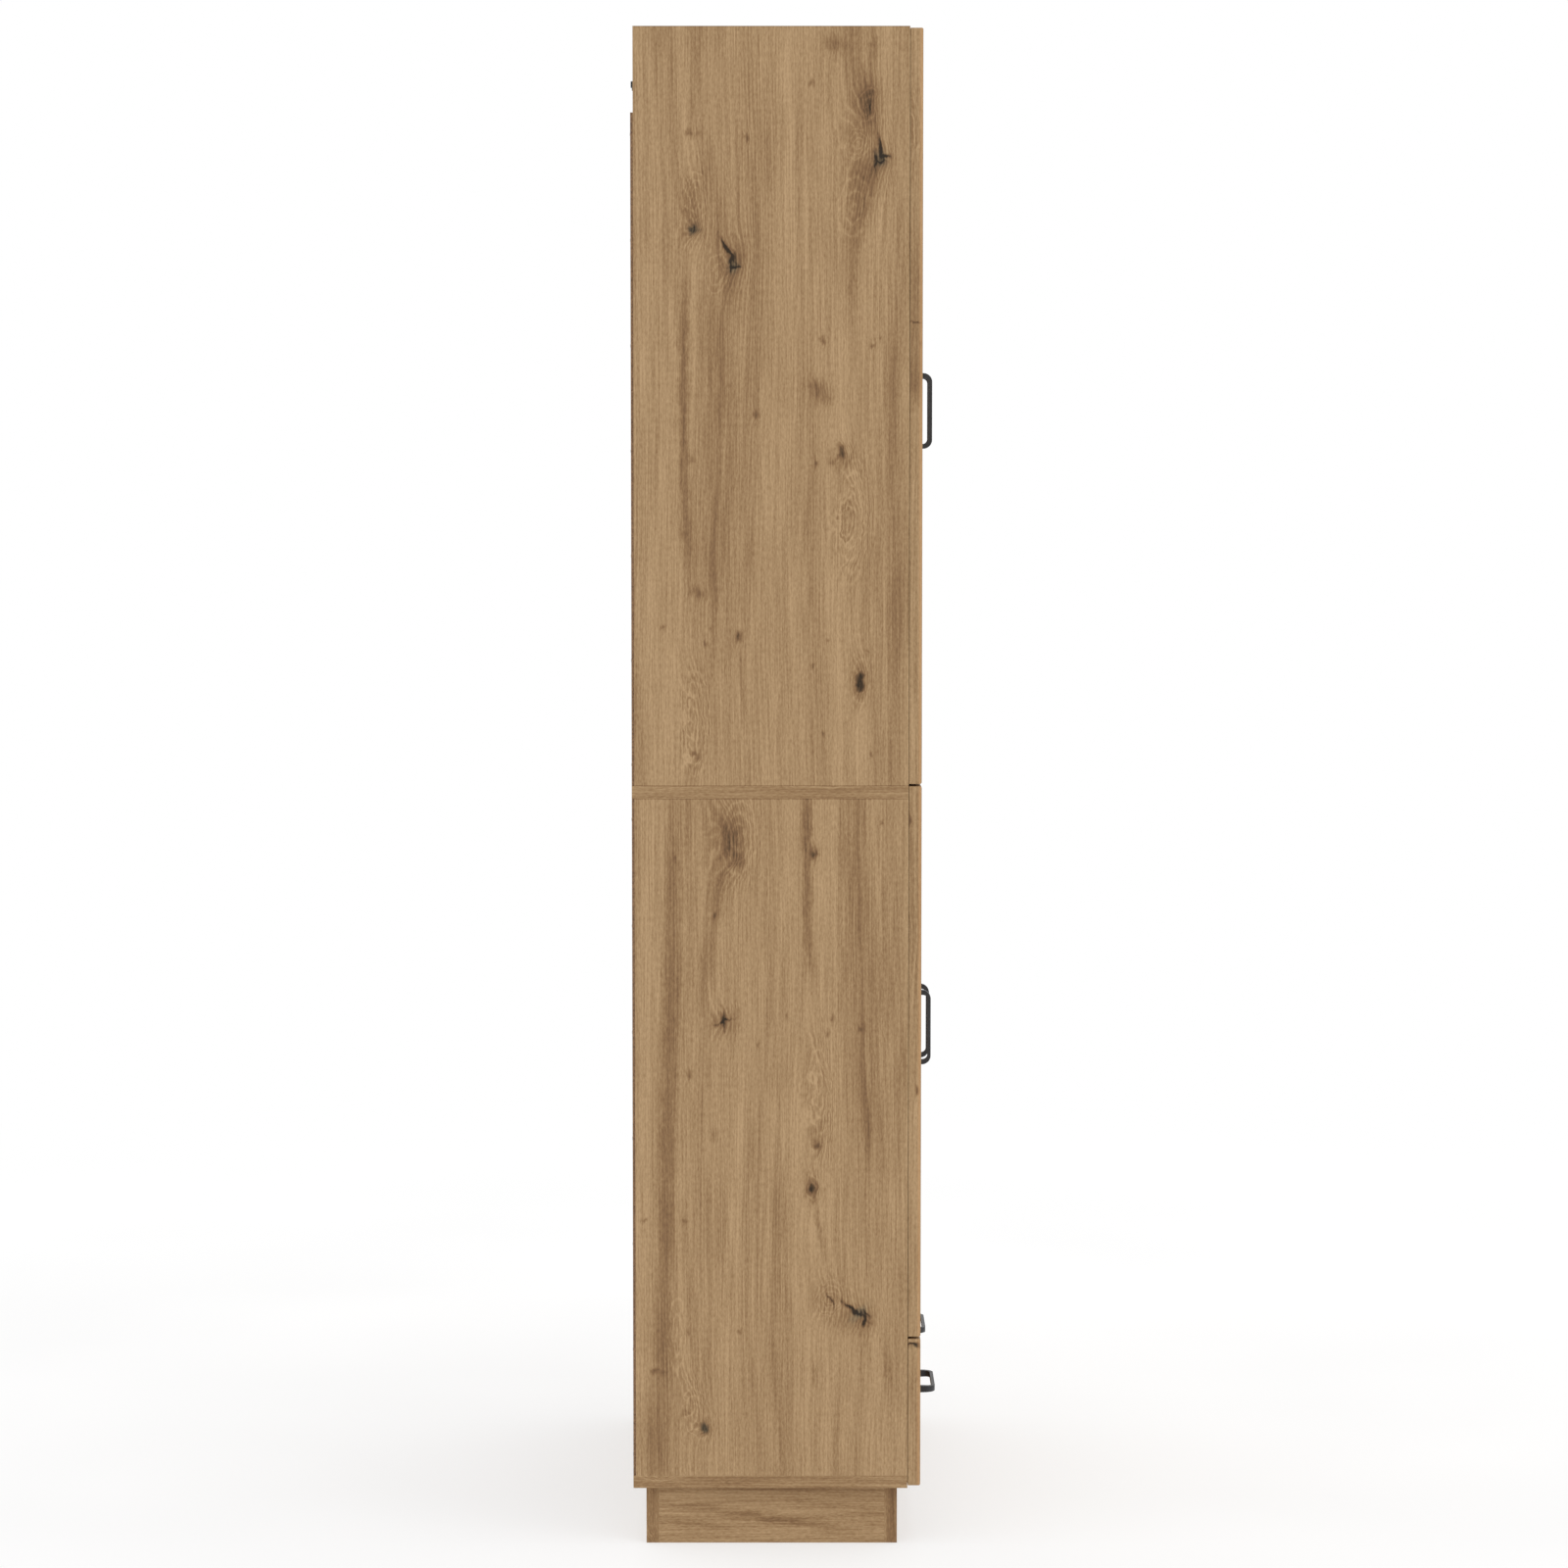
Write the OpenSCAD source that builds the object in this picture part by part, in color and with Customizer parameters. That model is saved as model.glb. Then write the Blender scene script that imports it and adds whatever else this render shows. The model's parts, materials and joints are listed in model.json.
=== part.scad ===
// Tall pantry cabinet: two doors above, two doors below and two drawers side by side at the foot.
// X runs to the right seen from the front, the front faces -Y, and Z is up from the floor.

/* [Overall] */
// Width across the side panels
cabinet_w = 695; // [660:5:900]
// Height from the floor to the top
cabinet_h = 1800; // [1780:10:2000]
// Depth of the side panels
side_d = 324; // [324:2:400]

/* [Boards] */
// Thickness of the coated boards
board = 15; // [15:0.5:16]
// Thickness of the hardboard backs
back_t = 3; // [3:0.5:4]

/* [Base] */
// Height of the plinth
plinth_h = 70; // [70:5:100]
// Depth of the plinth
plinth_d = 300; // [280:2:300]
// Distance from the front of the sides back to the plinth
plinth_setback = 12; // [8:1:12]
// Distance from each side face in to the plinth
plinth_inset = 15; // [10:1:30]

/* [Levels] */
// Underside of the middle panel
middle_z = 896; // [880:1:920]
// Underside of the deck over the drawers
deck_z = 244; // [244:1:248]
// Underside of the lower shelf
lower_shelf_z = 563; // [520:1:620]
// Underside of the first upper shelf
low_shelf_z = 1190; // [1120:1:1260]
// Underside of the second upper shelf
high_shelf_z = 1480; // [1400:1:1560]
// Height of the rear rail under the top
rail_h = 100; // [80:5:120]
// Height at which the upper back ends
back_top_z = 1700; // [1690:1:1710]

/* [Fronts] */
// Gap between neighbouring fronts
front_gap = 3; // [2.5:0.5:4]
// Gap between the fronts and the cabinet
front_standoff = 0.5; // [0.5:0.5:2]
// Distance from the side face in to the edge of a front
side_reveal = 1; // [1:0.5:2]
// Distance from the top down to the upper doors
top_reveal = 2; // [1:0.5:3]
// Lower edge of the drawer fronts
drawer_front_z = 73; // [71:1:75]
// Height of the drawer fronts
drawer_front_h = 177; // [176:1:180]
// Distance from the middle panel's underside up to the seam between the doors
seam_rise = 16; // [14:0.5:18]
// Radius on the front edges of the fronts
front_round = 2; // [1:0.5:3]

/* [Handles] */
// Length of a handle
handle_len = 94; // [80:1:120]
// Reach of a handle in front of the door
handle_reach = 22; // [20:1:30]
// Distance from the cabinet's centre line to a door handle
handle_line = 31; // [25:1:45]
// Width of a handle at its feet
handle_foot_w = 8.4; // [8:0.2:12]
// Width of a handle along its grip
handle_grip_w = 6.8; // [6:0.2:8]

/* [Hinges] */
// Distance from each end of a door to its hinge
hinge_inset = 100; // [90:5:140]
// Radius of the hinge cup
cup_r = 17.5; // [17.5:0.1:17.6]
// Depth of the hinge cup
cup_depth = 11.5; // [11:0.5:12]
// Distance from the door's edge to the cup
cup_edge = 3; // [3:0.1:3.2]

/* [Drawers] */
// Thickness of the drawer boards
drawer_t = 12; // [10:1:14]
// Height of the drawer sides
drawer_h = 125; // [115:1:130]
// Lower edge of the drawer sides
drawer_z = 97; // [95:1:100]
// Depth of the drawer box behind its front
drawer_d = 294; // [280:2:300]
// Thickness of a runner between the cabinet and the drawer
runner_t = 12.5; // [12.5:0.1:13]
// Length of a runner
runner_len = 290; // [270:10:300]

/* [Hidden] */
$fn = 48;
// Colours of the materials
OAK = [0.69, 0.56, 0.42];
OAK_EDGE = [0.64, 0.52, 0.38];
HARDBOARD = [0.62, 0.52, 0.42];
BLACK = [0.17, 0.17, 0.18];
STEEL = [0.72, 0.73, 0.74];
BEECH = [0.80, 0.66, 0.48];

// Wall bracket: length, height, plate thickness and distance from the side of the cabinet
bracket_w = 60;
bracket_h = 22;
bracket_t = 2;
bracket_in = 100;
bracket_z = 1739;
wall_hole_r = 3;
screw_head_r = 4;
screw_head_h = 3;
bracket_screw_dx = 20;
bracket_screw_r = 2.4;
bracket_screw_len = 10;
bracket_bore_depth = 12;

// The depth is centred on the origin, from the handles to the screw heads of the wall brackets
front_reach = front_standoff + board + handle_reach;
back_reach = side_d + bracket_t + screw_head_h;
y_front = (front_reach - back_reach) / 2;
y_door = y_front - front_standoff;
y_back = y_front + side_d;
half_w = cabinet_w / 2;
inner_x = half_w - board;
bottom_top = plinth_h + board;
middle_top = middle_z + board;
top_z = cabinet_h - board;
deck_top = deck_z + board;
wide_d = side_d + back_t;
divider_x = board / 2;
rail_z = top_z - rail_h;
plinth_x = half_w - plinth_inset;
plinth_front_y = y_front + plinth_setback;
plinth_back_y = plinth_front_y + plinth_d;

// Fronts: width of one front, and the lower edge and height of each row of doors
front_w = half_w - side_reveal - front_gap / 2;
front_mid_x = half_w - side_reveal - front_w / 2;
drawer_mid_z = drawer_front_z + drawer_front_h / 2;
lower_door_z = drawer_front_z + drawer_front_h + front_gap;
lower_door_h = middle_z + seam_rise - front_gap / 2 - lower_door_z;
upper_door_z = middle_z + seam_rise + front_gap / 2;
upper_door_h = cabinet_h - top_reveal - upper_door_z;

// Shelves
shelf_side_gap = 1;
shelf_d = 298;
shelf_back_gap = 4;
pin_r = 2.5;
pin_depth = 8;
pin_out = 8;
pin_collar_r = 3.7;
pin_collar_t = 0.8;
pin_pitch = 32;
pin_inset = 45;

// Cam fittings and dowels: distances into the two boards, and radii
cam_reach = 34;
cam_r = 7.4;
cam_h = 12.2;
cam_slot_len = 8;
cam_slot_w = 1.6;
cam_slot_depth = 2.5;
bolt_r = 3;
bolt_into = 11;
bolt_thread_out = 6;
bolt_neck_r = 2.1;
bolt_head_len = 3.5;
bolt_tip_gap = 0.5;
dowel_r = 4;
dowel_into = 10;
dowel_reach = 20;
play = 0.1;
over = 1;
cam_inset = 40;
dowel_inset = 75;
stagger = 16;
SIDES = [-1, 1];
CAM_YS = [y_front + cam_inset, y_back - cam_inset];
DOWEL_YS = [y_front + dowel_inset, y_back - dowel_inset];
upright_x = half_w - board / 2;
rail_y = y_back - board / 2;

// Each seam: its point at the middle of the board, the way into the board that holds the cam,
// and the way to that board's open face
function level_seams(ys, z) =
    [for (s = SIDES, y = ys) [[s * inner_x, y, z], [-s, 0, 0], [0, 0, -1]]];
function upright_seams(ys, z, up) =
    [for (s = SIDES, y = ys) [[s * upright_x, y, z], [0, 0, up], [-s, 0, 0]]];
function divider_seams(ys, z, up) = [for (y = ys) [[0, y, z], [0, 0, up], [1, 0, 0]]];
function rail_seams(z) = [for (s = SIDES) [[s * inner_x, rail_y, z], [-s, 0, 0], [0, 1, 0]]];
function shifted(ys) = [for (y = ys) y + stagger];
function cabinet_seams(ys) = concat(
    level_seams(ys, top_z + board / 2),
    level_seams(ys, deck_z + board / 2),
    upright_seams(ys, middle_top, 1),
    upright_seams(shifted(ys), middle_z, -1),
    upright_seams(ys, bottom_top, 1),
    divider_seams(ys, bottom_top, 1),
    divider_seams(ys, deck_z, -1)
);
CAMS = concat(cabinet_seams(CAM_YS), rail_seams(rail_z + rail_h / 2));
plinth_board_x = plinth_x - board / 2;
PLINTH_DOWEL_ZS = [plinth_h * 0.3, plinth_h * 0.7];
PLINTH_DOWELS = [
    for (s = SIDES, z = PLINTH_DOWEL_ZS, front = [true, false])
        [[s * plinth_board_x, front ? plinth_front_y + board : plinth_back_y - board, z],
         [0, front ? 1 : -1, 0]]
];
RAIL_DOWELS = rail_seams(rail_z + rail_h * 0.2);
DOWELS = concat(cabinet_seams(DOWEL_YS), RAIL_DOWELS, PLINTH_DOWELS);

// Long screws from the bottom panel down into the plinth
plinth_screw_r = 2.5;
plinth_screw_head_r = 5;
plinth_screw_head_h = 4;
plinth_screw_len = 50;
plinth_socket_r = 2;
plinth_socket_depth = 2;
PLINTH_SCREW_XS = [-220, -70, 70, 220];
PLINTH_SCREW_YS = [plinth_front_y + board / 2, plinth_back_y - board / 2];
PLINTH_SCREWS = [for (x = PLINTH_SCREW_XS, y = PLINTH_SCREW_YS) [x, y, bottom_top]];

// Shelf pins, and the spare holes above and below each one
shelf_y = y_back - shelf_back_gap - shelf_d;
SHELF_ZS = [lower_shelf_z, low_shelf_z, high_shelf_z];
PIN_YS = [shelf_y + pin_inset, shelf_y + shelf_d - pin_inset];
PINS = [for (z = SHELF_ZS, s = SIDES, y = PIN_YS) [[s * inner_x, y, z - pin_r], [s, 0, 0]]];

// Hinge geometry in door coordinates: u in from the cabinet's side face, v back from the door's back.
// The link turns on pin_a in the arm and pin_b in the cup, with a crook that clears the door's edge.
pin_a = [30, 4];
pin_b = [7.4, -4.2];
crook = [13.4, -8.8];
hinge_pin_r = 0.9;
hinge_pin_half = 5.5;
pin_play = 0.05;
eye_a_r = 2.4;
eye_b_r = 1.9;
link_t = 2.4;
link_half_w = 3.5;
cheek_in = 4;
cup_wall = 0.9;
cup_floor = 1;
cup_u = side_reveal + cup_edge + cup_r;
flange_u = cup_u + 2;
flange_w = 15;
flange_half = 31;
flange_t = 1.2;
cup_screw_u = cup_u + 9.5;
cup_screw_z = 24;
cup_screw_r = 1.75;
cup_screw_len = 11;
plate_v = 24;
plate_len = 34;
plate_half = 24;
plate_t = 4;
plate_screw_v = front_standoff + 37;
plate_screw_z = 16;
plate_screw_r = 2.5;
plate_screw_len = 10;
plate_head_h = 1.6;
arm_top_u = 34;
arm_front_v = 1.6;
arm_web_v = 12;
arm_web_t = 1.5;
arm_end_v = 56;
plate_u = board + plate_t;
ARM_SIDE = [
    [pin_a[0] - 3.4, arm_front_v], [pin_a[0] + 2.4, arm_front_v], [arm_top_u, arm_web_v],
    [arm_top_u, arm_end_v], [plate_u, arm_end_v], [plate_u, plate_v + 3]
];
function hinge_zs(z, h) = [z + hinge_inset, z + h - hinge_inset];
UPPER_HINGES = hinge_zs(upper_door_z, upper_door_h);
LOWER_HINGES = hinge_zs(lower_door_z, lower_door_h);
HINGE_ZS = concat(UPPER_HINGES, LOWER_HINGES);
PLATE_SCREWS = [
    for (z = HINGE_ZS, s = SIDES, dz = [-plate_screw_z, plate_screw_z])
        [[s * inner_x, y_door + plate_screw_v, z + dz], [s, 0, 0]]
];

// Handles: thickness of the foot and of the grip, and the screws that hold them
handle_foot_t = 6;
handle_grip_t = 4;
handle_outer_r = 11;
handle_inner_r = 6;
handle_screw_r = 1.9;
handle_screw_into = 8;
handle_hole_r = 2;
door_hole_r = 2.2;
handle_head_r = 4;
handle_head_h = 2.4;
handle_screw_at = handle_len / 2 - handle_foot_t / 2;

// Drawers and runners
drawer_half = (inner_x - divider_x) / 2;
drawer_mid_x = divider_x + drawer_half;
box_half = drawer_half - runner_t;
groove_z = drawer_z + 10;
groove_h = 3.2;
groove_depth = 6;
drawer_bottom_t = 3;
bottom_play = 0.2;
drawer_back_drop = 10;
runner_z = drawer_z + drawer_h / 2;
runner_half_h = 17.5;
runner_sheet = 1.2;
runner_lip = 9.5;
runner_front_y = y_front + 3;
ball_r = 1.5;
ball_play = 0.05;
ball_x = 5.5;
ball_z = runner_half_h - runner_sheet - ball_r - ball_play;
member_half_h = ball_z - ball_r - ball_play;
member_back_x = 4.4;
cage_len = 180;
cage_t = 0.8;
cage_x = 2.2;
cage_w = 6.6;
ball_count = 8;
cage_start = 20;

// Nails of the backs
nail_r = 0.7;
nail_len = 16;
nail_head_r = 1.8;
nail_head_h = 0.6;
back_edge_gap = 1;
NAIL_STEPS = 6;
function spread(lo, hi) = [for (i = [0:NAIL_STEPS]) lo + (hi - lo) * i / NAIL_STEPS];
nail_margin = 25;

wall_x = half_w - bracket_in;
bolt_bore_r = bolt_r + play;
cam_bore_r = cam_r + play;

// Bores in the boards: a point on the board's face, the way in, the radius, and how far the bore
// runs ahead of and behind the point
BORES = concat(
    [for (c = CAMS) [c[0], c[1], bolt_bore_r, cam_reach, bolt_into]],
    [for (c = CAMS) [c[0] + cam_reach * c[1] + board / 2 * c[2], -c[2], cam_bore_r, cam_h + play, over]],
    [for (d = DOWELS) [d[0], d[1], dowel_r + play, dowel_reach + play, dowel_into + play]],
    [for (p = PINS, i = [-1:1]) [p[0] + [0, 0, i * pin_pitch], p[1], pin_r + play, pin_depth + over, over]],
    [for (p = PLATE_SCREWS) [p[0], p[1], plate_screw_r + play, plate_screw_len + play, over]],
    [for (p = PLINTH_SCREWS) [p, [0, 0, -1], plinth_screw_r + play, board, over]],
    [for (p = PLINTH_SCREWS) [p, [0, 0, -1], plinth_screw_head_r + play, plinth_screw_head_h, over]],
    [for (p = PLINTH_SCREWS)
        [p - [0, 0, board], [0, 0, -1], plinth_screw_r + play, plinth_screw_len - board + play, 0]],
    [for (s = SIDES) [[s * wall_x, y_back, bracket_z], [0, -1, 0], wall_hole_r, board, over]],
    [for (s = SIDES, d = SIDES)
        [[s * wall_x + d * bracket_screw_dx, y_back, bracket_z], [0, -1, 0],
         bracket_screw_r + play, bracket_bore_depth, over]]
);
function within(p, lo, hi) = min([for (i = [0:2]) min(p[i] - lo[i], hi[i] - p[i])]) > -play;

// Turns +Z to a unit vector
module aim(v) {
    rotate([0, acos(v[2]), atan2(v[1], v[0])]) children();
}

// Children drawn for the left side, mirrored for the right
module on_side(s) {
    if (s < 0) children();
    else mirror([1, 0, 0]) children();
}

// Straight bar of a given thickness between two points of a flat outline
module bar(p, q, t) {
    d = q - p;
    translate(p) rotate(atan2(d[1], d[0])) translate([0, -t / 2]) square([norm(d), t]);
}

// Board between two corners, with every bore that starts on it
module board_between(lo, hi, tint = OAK) {
    color(tint) difference() {
        translate(lo) cube(hi - lo);
        for (b = BORES) if (within(b[0], lo, hi)) {
            translate(b[0] - b[4] * b[1]) aim(b[1]) cylinder(r = b[2], h = b[3] + b[4]);
        }
    }
}

// ---- Base ----
module plinth_front() {
    board_between([-plinth_x, plinth_front_y, 0], [plinth_x, plinth_front_y + board, plinth_h]);
}

module plinth_rear() {
    board_between([-plinth_x, plinth_back_y - board, 0], [plinth_x, plinth_back_y, plinth_h]);
}

module plinth_side(s) {
    x0 = s < 0 ? -plinth_x : plinth_x - board;
    board_between([x0, plinth_front_y + board, 0], [x0 + board, plinth_back_y - board, plinth_h]);
}

module plinth_screws() {
    color(STEEL) for (p = PLINTH_SCREWS) translate(p) {
        translate([0, 0, -plinth_screw_len]) cylinder(r = plinth_screw_r, h = plinth_screw_len);
        difference() {
            translate([0, 0, -plinth_screw_head_h])
                cylinder(r = plinth_screw_head_r, h = plinth_screw_head_h);
            translate([0, 0, -plinth_socket_depth])
                cylinder(r = plinth_socket_r, h = plinth_socket_depth + over);
        }
    }
}

// ---- Cabinet boards ----
module level_board(z, x, depth) {
    board_between([-x, y_front, z], [x, y_front + depth, z + board]);
}

module upright(s, z0, z1) {
    x0 = s < 0 ? -half_w : inner_x;
    board_between([x0, y_front, z0], [x0 + board, y_back, z1]);
}

module drawer_divider() {
    board_between([-divider_x, y_front, bottom_top], [divider_x, y_back, deck_z]);
}

module shelf(z) {
    x = inner_x - shelf_side_gap;
    board_between([-x, shelf_y, z], [x, shelf_y + shelf_d, z + board]);
}

module rear_rail() {
    board_between([-inner_x, y_back - board, rail_z], [inner_x, y_back, top_z]);
}

module back(z0, z1) {
    x = half_w - back_edge_gap;
    color(HARDBOARD) translate([-x, y_back, z0]) cube([2 * x, back_t, z1 - z0]);
}

// ---- Fittings ----
module shelf_pins() {
    color(STEEL) for (p = PINS) translate(p[0]) aim(p[1]) {
        translate([0, 0, -pin_out]) cylinder(r = pin_r, h = pin_out + pin_depth);
        translate([0, 0, -pin_collar_t]) cylinder(r = pin_collar_r, h = pin_collar_t);
    }
}

// Cam: a drum with a mouth for the bolt and a cross slot in its face
module cam_locks() {
    color(STEEL) for (c = CAMS) difference() {
        translate(c[0] + cam_reach * c[1] + (board / 2 - cam_h) * c[2]) aim(c[2]) difference() {
            cylinder(r = cam_r, h = cam_h);
            for (turn = [0, 90]) rotate(turn) {
                translate([-cam_slot_len / 2, -cam_slot_w / 2, cam_h - cam_slot_depth])
                    cube([cam_slot_len, cam_slot_w, cam_slot_depth + over]);
            }
        }
        translate(c[0]) aim(c[1]) cylinder(r = bolt_bore_r, h = cam_reach);
    }
}

module cam_bolts() {
    color(STEEL) for (c = CAMS) translate(c[0]) aim(c[1]) {
        translate([0, 0, -bolt_into]) cylinder(r = bolt_r, h = bolt_into + bolt_thread_out);
        cylinder(r = bolt_neck_r, h = cam_reach - bolt_head_len);
        translate([0, 0, cam_reach - bolt_tip_gap - bolt_head_len]) cylinder(r = bolt_r, h = bolt_head_len);
    }
}

module dowels() {
    color(BEECH) for (d = DOWELS) translate(d[0] - dowel_into * d[1]) aim(d[1]) {
        cylinder(r = dowel_r, h = dowel_into + dowel_reach);
    }
}

module back_nails() {
    zs = concat(spread(bottom_top + nail_margin, middle_z - nail_margin),
                spread(middle_top + nail_margin, back_top_z - nail_margin));
    color(STEEL) {
        for (s = SIDES, z = zs) nail([s * upright_x, z]);
        for (x = spread(-inner_x + nail_margin, inner_x - nail_margin)) nail([x, back_top_z - board / 2]);
    }
}

module nail(at) {
    translate([at[0], y_back + back_t, at[1]]) aim([0, -1, 0]) {
        cylinder(r = nail_r, h = nail_len);
        translate([0, 0, -nail_head_h]) cylinder(r = nail_head_r, h = nail_head_h);
    }
}

// Black steel plate on the rear rail, with a hole for the wall screw between its two own screws
module wall_brackets() {
    color(BLACK) for (s = SIDES) translate([s * wall_x, y_back, bracket_z]) {
        difference() {
            translate([-bracket_w / 2, 0, -bracket_h / 2]) cube([bracket_w, bracket_t, bracket_h]);
            aim([0, 1, 0]) translate([0, 0, -over]) cylinder(r = wall_hole_r, h = bracket_t + 2 * over);
        }
        for (d = SIDES) translate([d * bracket_screw_dx, 0, 0]) {
            translate([0, bracket_t, 0]) aim([0, 1, 0]) cylinder(r = screw_head_r, h = screw_head_h);
            translate([0, -bracket_screw_len, 0]) aim([0, 1, 0])
                cylinder(r = bracket_screw_r, h = bracket_screw_len + bracket_t);
        }
    }
}

// ---- Hinges ----
// Places a flat (u, v) outline at a height and gives it a half width either way
module hinge_plane(z, half) {
    translate([-half_w, y_door, z - half]) linear_extrude(2 * half) children();
}

module hinge_arm(z) {
    difference() {
        hinge_plane(z, hinge_pin_half) polygon(ARM_SIDE);
        hinge_plane(z, cheek_in) difference() {
            square([2 * arm_top_u, 2 * arm_end_v]);
            translate([arm_top_u - arm_web_t, arm_web_v]) square([arm_web_t, arm_end_v]);
        }
    }
    hinge_plane(z, hinge_pin_half) translate(pin_a) circle(hinge_pin_r);
    hinge_plane(z, plate_half) translate([board, plate_v]) square([plate_t, plate_len]);
    for (dz = [-plate_screw_z, plate_screw_z]) {
        translate([-inner_x, y_door + plate_screw_v, z + dz]) aim([1, 0, 0]) {
            translate([0, 0, -plate_screw_len]) cylinder(r = plate_screw_r, h = plate_screw_len + plate_t);
            translate([0, 0, plate_t]) cylinder(r = screw_head_r, h = plate_head_h);
        }
    }
}

module hinge_arms() {
    color(STEEL) for (s = SIDES, z = HINGE_ZS) on_side(s) hinge_arm(z);
}

module hinge_link(z) {
    hinge_plane(z, link_half_w) difference() {
        union() {
            translate(pin_a) circle(eye_a_r);
            translate(pin_b) circle(eye_b_r);
            translate(crook) circle(link_t / 2);
            bar(pin_a, crook, link_t);
            bar(crook, pin_b, link_t);
        }
        translate(pin_a) circle(hinge_pin_r + pin_play);
        translate(pin_b) circle(hinge_pin_r + pin_play);
    }
}

module hinge_links(s, zs) {
    color(STEEL) for (z = zs) on_side(s) hinge_link(z);
}

// Everything of one cup that is sunk in the door, grown by g for the door's own recess
module cup_body(z, g) {
    translate([cup_u - half_w, y_door, z]) aim([0, -1, 0]) cylinder(r = cup_r + g, h = cup_depth + g);
    translate([flange_u - half_w - g, y_door - flange_t, z - flange_half - g])
        cube([flange_w + 2 * g, flange_t, 2 * (flange_half + g)]);
}

module cup_screws(z, g) {
    for (dz = [-cup_screw_z, cup_screw_z]) translate([cup_screw_u - half_w, y_door, z + dz]) {
        aim([0, -1, 0]) cylinder(r = cup_screw_r + g, h = cup_screw_len + g);
    }
}

module hinge_cup(z) {
    inner_r = cup_r - cup_wall;
    difference() {
        union() {
            cup_body(z, 0);
            cup_screws(z, 0);
        }
        difference() {
            translate([cup_u - half_w, y_door + over, z]) aim([0, -1, 0])
                cylinder(r = inner_r, h = cup_depth - cup_floor + over);
            for (m = SIDES) {
                translate([-half_w, y_door - cup_depth, z + m * (cheek_in + hinge_pin_half) / 2])
                    translate([0, 0, (cheek_in - hinge_pin_half) / 2])
                        cube([2 * cup_u, cup_depth, hinge_pin_half - cheek_in]);
            }
        }
    }
    hinge_plane(z, hinge_pin_half) translate(pin_b) circle(hinge_pin_r);
}

module hinge_cups(s, zs) {
    color(STEEL) for (z = zs) on_side(s) hinge_cup(z);
}

// ---- Fronts ----
// Flat outline of a front's edge, with its two front corners rounded
module front_outline(w) {
    r = front_round;
    translate([0, r - board]) square([w, board - r]);
    translate([r, -board]) square([w - 2 * r, board]);
    for (x = [r, w - r]) translate([x, r - board]) circle(r);
}

// Board with its back on y = 0 and rounded front edges
module front_slab(w, h) {
    intersection() {
        linear_extrude(h) front_outline(w);
        translate([w, 0, 0]) rotate([0, -90, 0]) linear_extrude(w) front_outline(h);
    }
}

module door(s, z0, h) {
    color(OAK) on_side(s) difference() {
        translate([side_reveal - half_w, y_door, z0]) front_slab(front_w, h);
        for (z = hinge_zs(z0, h)) {
            cup_body(z, play);
            cup_screws(z, play);
        }
        for (m = SIDES) translate([-handle_line, y_door + over, z0 + h / 2 + m * handle_screw_at]) {
            aim([0, -1, 0]) cylinder(r = door_hole_r, h = board + 2 * over);
        }
    }
}

// Closed end of a handle's outline: a box with its two outer corners rounded
module arch(len, reach, r) {
    translate([-len / 2, -over]) square([len, reach - r + over]);
    translate([r - len / 2, 0]) square([len - 2 * r, reach]);
    for (m = SIDES) translate([m * (len / 2 - r), reach - r]) circle(r);
}

// Bow handle along X with its feet on y = 0, reaching to -Y, and its two screws
module handle() {
    color(BLACK) difference() {
        intersection() {
            translate([0, 0, -handle_foot_w]) linear_extrude(2 * handle_foot_w) mirror([0, 1]) difference() {
                arch(handle_len, handle_reach, handle_outer_r);
                arch(handle_len - 2 * handle_foot_t, handle_reach - handle_grip_t, handle_inner_r);
                translate([-handle_len, -2 * over]) square([2 * handle_len, 2 * over]);
            }
            rotate([90, 0, 90]) translate([0, 0, -handle_len]) linear_extrude(2 * handle_len) polygon([
                [0, -handle_foot_w / 2], [0, handle_foot_w / 2],
                [-handle_reach, handle_grip_w / 2], [-handle_reach, -handle_grip_w / 2]
            ]);
        }
        for (m = SIDES) translate([m * handle_screw_at, over, 0]) aim([0, -1, 0]) {
            cylinder(r = handle_hole_r, h = handle_screw_into + 2 * over);
        }
    }
    color(STEEL) for (m = SIDES) translate([m * handle_screw_at, board, 0]) {
        aim([0, -1, 0]) cylinder(r = handle_screw_r, h = board + handle_screw_into);
        aim([0, 1, 0]) cylinder(r = handle_head_r, h = handle_head_h);
    }
}

module door_handle(s, z0, h) {
    translate([s * handle_line, y_door - board, z0 + h / 2]) rotate([0, 90, 0]) handle();
}

// ---- Drawers, drawn for the left one and mirrored ----
module drawer_front(s) {
    color(OAK) on_side(s) difference() {
        translate([side_reveal - half_w, y_door, drawer_front_z]) front_slab(front_w, drawer_front_h);
        translate([-drawer_mid_x - box_half + groove_depth, y_door - groove_depth, groove_z])
            cube([2 * (box_half - groove_depth), groove_depth + over, groove_h]);
        for (m = SIDES) translate([m * handle_screw_at - front_mid_x, y_door + over, drawer_mid_z]) {
            aim([0, -1, 0]) cylinder(r = door_hole_r, h = board + 2 * over);
        }
    }
}

module drawer_handle(s) {
    translate([s * front_mid_x, y_door - board, drawer_mid_z]) handle();
}

module drawer_side(s, outer) {
    m = outer ? -1 : 1;
    x0 = m < 0 ? -box_half : box_half - drawer_t;
    groove_x = m < 0 ? -box_half + drawer_t - groove_depth : box_half - drawer_t;
    color(OAK) on_side(s) translate([-drawer_mid_x, y_door, 0]) difference() {
        translate([x0, 0, drawer_z]) cube([drawer_t, drawer_d, drawer_h]);
        translate([groove_x, -over, groove_z]) cube([groove_depth, drawer_d + 2 * over, groove_h]);
    }
}

module drawer_back(s) {
    z0 = groove_z + groove_h;
    color(OAK) on_side(s) translate([-drawer_mid_x - box_half + drawer_t, y_door + drawer_d - drawer_t, z0])
        cube([2 * (box_half - drawer_t), drawer_t, drawer_z + drawer_h - drawer_back_drop - z0]);
}

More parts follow.
